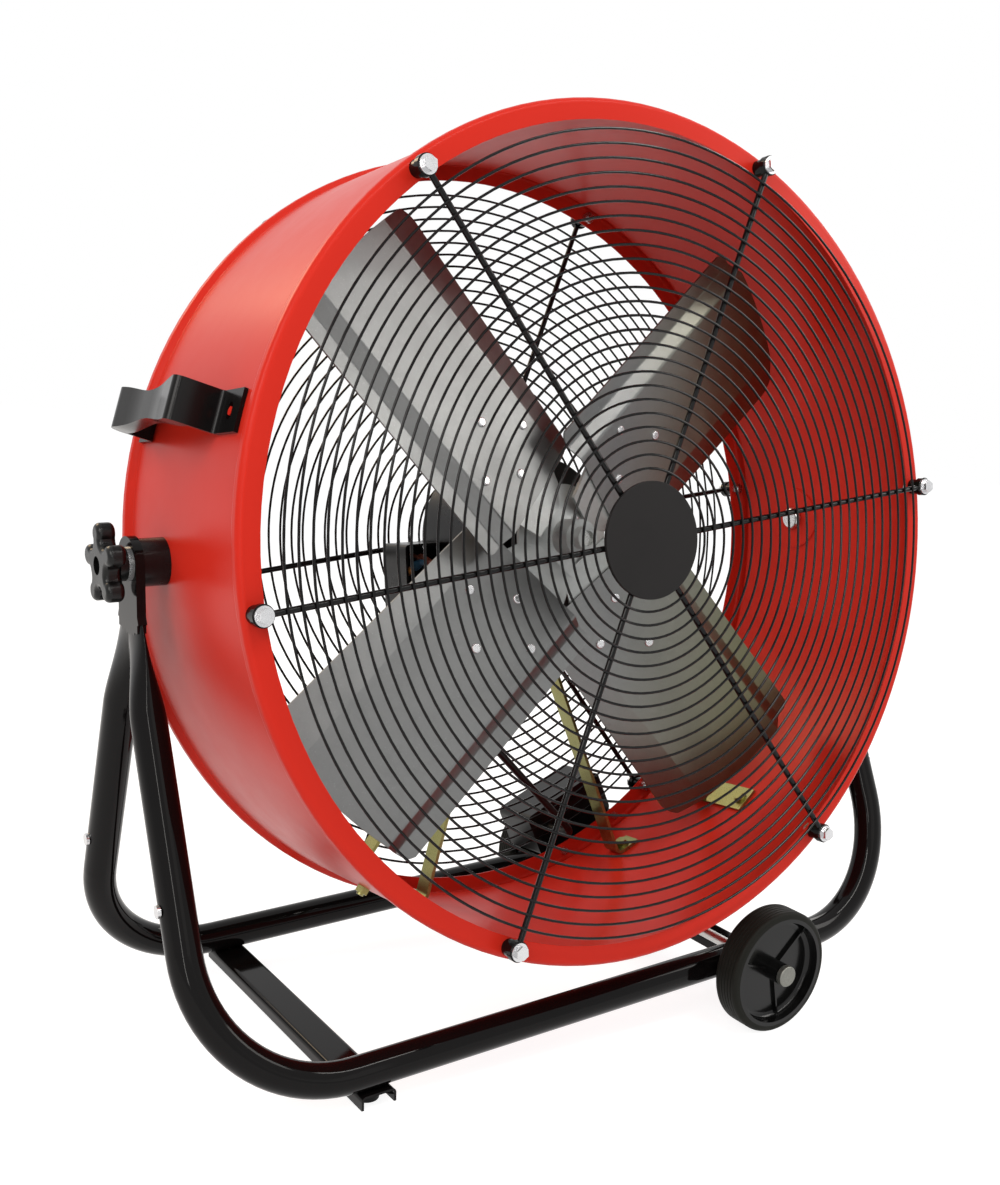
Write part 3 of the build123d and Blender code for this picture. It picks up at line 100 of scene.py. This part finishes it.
class Finish:
    """One procedural material, with short calls for the nodes that it is made of."""

    def __init__(self, name, base, roughness, metallic=0.0, level=0.5):
        self.material = bpy.data.materials.new(name)
        self.material.use_nodes = True
        self.tree = self.material.node_tree
        self.shader = self.tree.nodes["Principled BSDF"]
        self.base = (*base, 1.0)
        self.set("Base Color", self.base)
        self.set("Roughness", roughness)
        self.set("Metallic", metallic)
        self.set("Specular IOR Level", level)
        self.place = self.add("ShaderNodeTexCoord").outputs["Object"]

    def set(self, socket, value):
        """Plain value on one of the shader's own sockets."""
        self.shader.inputs[socket].default_value = value

    def add(self, kind, **values):
        """New node with its named settings and inputs; a socket given as a value is linked."""
        made = self.tree.nodes.new(kind)
        for key, value in values.items():
            name = key.replace("_", " ").title()
            if isinstance(value, bpy.types.NodeSocket):
                self.tree.links.new(value, made.inputs[name])
            elif hasattr(made, key):
                setattr(made, key, value)
            else:
                made.inputs[name].default_value = value
        return made

    def link(self, source, socket):
        """Feeds one of the shader's sockets."""
        self.tree.links.new(source, self.shader.inputs[socket])

    def stretched(self, scale):
        """Object coordinates scaled by axis, for grain with a direction."""
        return self.add("ShaderNodeMapping", vector=self.place, scale=scale).outputs[0]

    def noise(self, size, detail=3.0, roughness=0.5, vector=None):
        """Soft noise whose features are about size metres across."""
        made = self.add(
            "ShaderNodeTexNoise",
            vector=vector or self.place,
            scale=1.0 / size,
            detail=detail,
            roughness=roughness,
        )
        return made.outputs["Fac"]

    def cells(self, size):
        """Grey value for each crystal of about size metres."""
        made = self.add("ShaderNodeTexVoronoi", vector=self.place, scale=1.0 / size)
        return self.add("ShaderNodeSeparateColor", color=made.outputs["Color"]).outputs["Red"]

    def bands(self, size, direction):
        """Fine parallel lines, size metres apart."""
        made = self.add(
            "ShaderNodeTexWave",
            bands_direction=direction,
            vector=self.place,
            scale=WAVE_BAND / size,
            distortion=WAVE_DISTORTION,
        )
        return made.outputs["Fac"]

    def spread(self, source, low, high, start=0.0, end=1.0):
        """Maps a value from start..end to low..high."""
        made = self.tree.nodes.new("ShaderNodeMapRange")
        self.tree.links.new(source, made.inputs["Value"])
        for name, value in (("From Min", start), ("From Max", end), ("To Min", low), ("To Max", high)):
            made.inputs[name].default_value = value
        return made.outputs["Result"]

    def mixed(self, factor, first, second):
        """Blend of two colours, each a triple or a socket."""
        made = self.tree.nodes.new("ShaderNodeMix")
        made.data_type = "RGBA"
        self.tree.links.new(factor, made.inputs["Factor"])
        for name, value in (("A", first), ("B", second)):
            socket = next(s for s in made.inputs if s.name == name and s.type == "RGBA")
            if isinstance(value, bpy.types.NodeSocket):
                self.tree.links.new(value, socket)
            else:
                socket.default_value = (*value[:3], 1.0)
        return next(s for s in made.outputs if s.type == "RGBA")

    def relief(self, source, depth):
        """Bump of a depth in metres."""
        made = self.add("ShaderNodeBump", height=source, distance=depth)
        self.link(made.outputs["Normal"], "Normal")

    def shaded(self, amount):
        """The base colour, darker or lighter by a share."""
        return tuple(min(1.0, c * amount) for c in self.base[:3])


def powder_coat(name, base, roughness, level, depth=0.00001):
    """Sprayed and baked paint: faint orange peel, slight mottling and uneven gloss."""
    paint = Finish(name, base, roughness, level=level)
    mottle = paint.noise(0.12, detail=2)
    paint.link(paint.mixed(mottle, paint.shaded(0.98), paint.shaded(1.02)), "Base Color")
    gloss = paint.noise(0.02, detail=4)
    paint.link(paint.spread(gloss, roughness * 0.94, roughness * 1.06, *NOISE_RANGE), "Roughness")
    peel = paint.noise(0.0022, detail=1)
    paint.relief(peel, depth)
    return paint.material


def moulded(name, base, roughness, level=0.4, grain=0.0009, depth=0.00004):
    """Moulded plastic or rubber with a fine spark-eroded grain."""
    plastic = Finish(name, base, roughness, level=level)
    dust = plastic.noise(0.03, detail=5)
    plastic.link(plastic.mixed(dust, plastic.shaded(0.75), plastic.shaded(1.35)), "Base Color")
    plastic.link(plastic.spread(dust, roughness * 0.8, roughness * 1.2, *NOISE_RANGE), "Roughness")
    plastic.relief(plastic.noise(grain, detail=2), depth)
    return plastic.material


def plated(name, base, roughness, tint=None, cloud=0.012):
    """Plated steel: cloudy colour, fine scratches and uneven gloss."""
    metal = Finish(name, base, roughness, metallic=1.0)
    clouds = metal.noise(cloud, detail=4, roughness=0.6)
    metal.link(metal.mixed(clouds, metal.shaded(0.82), tint or metal.shaded(1.18)), "Base Color")
    scratches = metal.noise(0.0011, detail=3, vector=metal.stretched((1.0, 9.0, 1.0)))
    metal.link(metal.spread(scratches, roughness * 0.7, roughness * 1.4, *NOISE_RANGE), "Roughness")
    metal.relief(scratches, 0.000004)
    return metal.material


def galvanised(name, base, roughness, spangle, painted_reflection, share, reach):
    """Hot-dip galvanised sheet: crystals, oxide clouds, pale specks, and an olive painted reflection.

    The painted reflection grows along X, over the reach in metres, to its share of the colour.
    """
    zinc = Finish(name, base, roughness, metallic=1.0)
    crystals = zinc.cells(spangle)
    grey = zinc.mixed(crystals, zinc.shaded(0.96), zinc.shaded(1.03))
    clouds = zinc.noise(0.035, detail=3, roughness=0.55)
    grey = zinc.mixed(zinc.spread(clouds, 0.0, 1.0, *CLOUD_RANGE), grey, zinc.shaded(1.08))
    specks = zinc.noise(0.0016, detail=2)
    grey = zinc.mixed(zinc.spread(specks, 0.0, 0.5, 0.66, 0.74), grey, zinc.shaded(1.5))
    across = zinc.add("ShaderNodeSeparateXYZ", vector=zinc.place).outputs["X"]
    # Painted reflection: the colour turns olive along X, over the reach.
    grey = zinc.mixed(zinc.spread(across, 0.0, share, *reach), grey, painted_reflection)
    zinc.link(grey, "Base Color")
    zinc.link(zinc.spread(clouds, roughness * 0.9, roughness * 1.1, *CLOUD_RANGE), "Roughness")
    zinc.relief(zinc.noise(0.004, detail=3), 0.000004)
    return zinc.material


def layered(name, base, pitch, direction):
    """Stacked sheets or wound wire: fine parallel lines."""
    roughness = 0.4
    stack = Finish(name, base, roughness, metallic=1.0)
    lines = stack.bands(pitch, direction)
    stack.link(stack.mixed(lines, stack.shaded(0.55), stack.shaded(1.2)), "Base Color")
    stack.link(stack.spread(stack.noise(0.01), roughness * 0.8, roughness * 1.3), "Roughness")
    stack.relief(lines, 0.0002)
    return stack.material


# ---------------------------------------------------------------- finishes

# One for each material slot of the record, with linear colours.
finishes = {
    "drum_red": powder_coat("drum_red", (0.54, 0.021, 0.011), 0.3, 0.09),
    "tube_black": powder_coat("tube_black", (0.0035, 0.003, 0.003), 0.07, 0.13, depth=0.000006),
    "guard_black": powder_coat("guard_black", (0.003, 0.003, 0.003), 0.14, 0.18),
    "disc_black": moulded("disc_black", (0.009, 0.008, 0.008), 0.5, level=0.15),
    "box_black": powder_coat("box_black", (0.004, 0.004, 0.004), 0.3, 0.2),
    "motor_black": powder_coat("motor_black", (0.004, 0.004, 0.0045), 0.28, 0.25, depth=0.00004),
    # The blades' olive tint towards +X is a painted reflection.
    "galvanised_steel": galvanised(
        "galvanised_steel", (0.19, 0.192, 0.19), 0.35, 0.005, (0.13, 0.125, 0.05), 0.75, (0.05, 0.2)
    ),
    "zinc_plated": plated("zinc_plated", (0.6, 0.6, 0.61), 0.24),
    "yellow_zinc": plated("yellow_zinc", (0.34, 0.3, 0.09), 0.32, tint=(0.3, 0.31, 0.14), cloud=0.03),
    "axle_steel": plated("axle_steel", (0.5, 0.5, 0.48), 0.3),
    "lamination_steel": layered("lamination_steel", (0.2, 0.2, 0.21), 0.0011, "Y"),
    "coil_copper": layered("coil_copper", (0.42, 0.14, 0.05), 0.0016, "Z"),
    "bearing_bronze": plated("bearing_bronze", (0.45, 0.3, 0.12), 0.35, cloud=0.004),
    "tyre_rubber": moulded(
        "tyre_rubber", (0.011, 0.011, 0.009), 0.55, level=0.07, grain=0.0014, depth=0.00005
    ),
    "wheel_plastic": moulded("wheel_plastic", (0.003, 0.003, 0.003), 0.16, level=0.25, depth=0.000008),
    "foot_rubber": moulded("foot_rubber", (0.005, 0.005, 0.005), 0.6, level=0.15),
    "knob_black": moulded("knob_black", (0.003, 0.003, 0.003), 0.27, level=0.25, depth=0.00002),
    "gland_black": moulded("gland_black", (0.004, 0.004, 0.004), 0.35, level=0.25),
    "lead_black": moulded("lead_black", (0.004, 0.004, 0.004), 0.38, level=0.25),
}
# Nodes that look unlike the rest of their slot.
own_finish = {
    "axle_caps": plated("cap_steel", (0.2, 0.2, 0.18), 0.45, cloud=0.004),
    # The spider's yellowish tint towards +X is a painted reflection too.
    "fan_spider": galvanised(
        "spider_steel", (0.36, 0.37, 0.365), 0.5, 0.004, (0.31, 0.315, 0.26), 0.4, (0.0, 0.1)
    ),
    "carry_handle": powder_coat("handle_black", (0.004, 0.0035, 0.0035), 0.2, 0.16, depth=0.000006),
}
for row in record["subparts"]:
    mesh = nodes[row["node"]].data
    mesh.materials.clear()
    mesh.materials.append(own_finish.get(row["node"], finishes[row["material_slot"]]))


# ---------------------------------------------------------------- wire caps in the terminal box

CAP_LENGTH = 0.017
CAP_RADIUS = 0.0046
CAP_RIBS = 12
# How far a mouth stands behind the box's front, and where the ribs end, as shares of the cap's length.
CAP_DEPTH = 1.6
CAP_RIB_END = 0.8
# Radius between the ribs, as a share of the radius on them.
CAP_GROOVE = 0.88
# Shares of the length, from the mouth, and of the radius. The wire reaches back from the mouth.
CAP_PROFILE = ((-0.9, 0.3), (-0.02, 0.3), (0.0, 0.95), (0.12, 1.0), (0.7, 0.72), (0.92, 0.56), (1.0, 0.25))
CAPS = {
    # name: colour, place across and up the box as shares of it, and the way that its tip points
    "orange_wire_cap": ((0.4, 0.17, 0.04), 0.3, 0.6, (-0.3, -1.0, 0.15)),
    "blue_wire_cap": ((0.04, 0.12, 0.2), 0.46, 0.66, (-0.1, -1.0, 0.4)),
    "red_wire_cap": ((0.2, 0.06, 0.04), 0.56, 0.76, (0.1, -1.0, -0.1)),
}


def wire_cap(name, colour, across, up, way):
    """Twist-on cap: a ribbed cone on the end of a short wire, inside the open front of the box."""
    low, high = (Vector(corner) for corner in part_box("terminal_box"))
    mouth = Vector((
        low.x + across * (high.x - low.x),
        low.y + CAP_DEPTH * CAP_LENGTH,
        low.z + up * (high.z - low.z),
    ))
    turn = Vector(way).to_track_quat("Z", "Y")
    shape = bmesh.new()
    rings = []
    for along, out in CAP_PROFILE:
        ring = []
        for i in range(2 * CAP_RIBS):
            groove = CAP_GROOVE if i % 2 and 0 < along < CAP_RIB_END else 1.0
            angle = pi * i / CAP_RIBS
            reach = CAP_RADIUS * out * groove
            point = Vector((reach * cos(angle), reach * sin(angle), along * CAP_LENGTH))
            ring.append(shape.verts.new(mouth + turn @ point))
        rings.append(ring)
    for first, second in zip(rings, rings[1:]):
        for i in range(2 * CAP_RIBS):
            shape.faces.new((first[i - 1], first[i], second[i], second[i - 1]))
    shape.faces.new(reversed(rings[0]))
    shape.faces.new(rings[-1])
    bmesh.ops.recalc_face_normals(shape, faces=shape.faces)
    mesh = bpy.data.meshes.new(name)
    shape.to_mesh(mesh)
    shape.free()
    mesh.materials.append(moulded(name, colour, 0.35, depth=0.00001))
    made = bpy.data.objects.new(name, mesh)
    scene.collection.objects.link(made)
    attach(made, "drum")


for cap_name, cap_setting in CAPS.items():
    wire_cap(cap_name, *cap_setting)


# ---------------------------------------------------------------- floor, world, lamps and camera


def background_strength(tree, lit, seen):
    """Lit for the rays that light the object, and seen for the camera's rays, mirror rays and glass rays."""
    path = tree.nodes.new("ShaderNodeLightPath")
    strength = lit
    for name in ("Is Camera Ray", "Is Glossy Ray", "Is Transmission Ray"):
        blend = tree.nodes.new("ShaderNodeMix")
        blend.data_type = "FLOAT"
        tree.links.new(path.outputs[name], blend.inputs[0])
        if isinstance(strength, float):
            blend.inputs[2].default_value = strength
        else:
            tree.links.new(strength, blend.inputs[2])
        blend.inputs[3].default_value = seen
        strength = blend.outputs[0]
    return strength


def floor():
    """Plain pale floor that keeps the object's shadow."""
    mesh = bpy.data.meshes.new("floor")
    half = FLOOR_SIZE / 2
    corners = [(-half, -half, 0), (half, -half, 0), (half, half, 0), (-half, half, 0)]
    mesh.from_pydata(corners, [], [(0, 1, 2, 3)])
    made = bpy.data.objects.new("floor", mesh)
    scene.collection.objects.link(made)
    paint = Finish("pale_floor", (FLOOR_GREY, FLOOR_GREY, FLOOR_GREY), 0.9, level=0.0)
    speckle = paint.noise(0.004, detail=2)
    paint.link(paint.mixed(speckle, paint.shaded(0.98), paint.shaded(1.02)), "Base Color")
    paint.set("Emission Color", (1.0, 1.0, 1.0, 1.0))
    paint.link(background_strength(paint.tree, FLOOR_FILL, FLOOR_WHITE), "Emission Strength")
    mesh.materials.append(paint.material)


def world():
    """White to the camera and in mirrors, and a soft fill on the object."""
    made = bpy.data.worlds.new("studio")
    made.use_nodes = True
    scene.world = made
    tree = made.node_tree
    shader = tree.nodes["Background"]
    shader.inputs["Color"].default_value = (1.0, 1.0, 1.0, 1.0)
    tree.links.new(background_strength(tree, WORLD_FILL, WORLD_WHITE), shader.inputs["Strength"])


def softbox(name, azimuth, elevation, distance, width, height, watts, colour):
    """Rectangular lamp aimed at the object."""
    lamp = bpy.data.lights.new(name, "AREA")
    lamp.shape = "RECTANGLE"
    lamp.size, lamp.size_y = width, height
    lamp.energy = watts
    lamp.color = colour
    made = bpy.data.objects.new(name, lamp)
    scene.collection.objects.link(made)
    a, e = radians(azimuth), radians(elevation)
    made.location = AIM + distance * Vector((sin(a) * cos(e), -cos(a) * cos(e), sin(e)))
    made.rotation_euler = (AIM - made.location).to_track_quat("-Z", "Y").to_euler()
    made.visible_camera = False


def camera():
    """The photo's view."""
    lens = bpy.data.cameras.new("camera")
    lens.lens = CAMERA_LENS
    made = bpy.data.objects.new("camera", lens)
    scene.collection.objects.link(made)
    made.location = CAMERA_PLACE
    made.rotation_euler = [radians(a) for a in CAMERA_TURN]
    scene.camera = made


floor()
world()
for lamp_name, setting in LIGHTS.items():
    softbox(lamp_name, *setting)
camera()
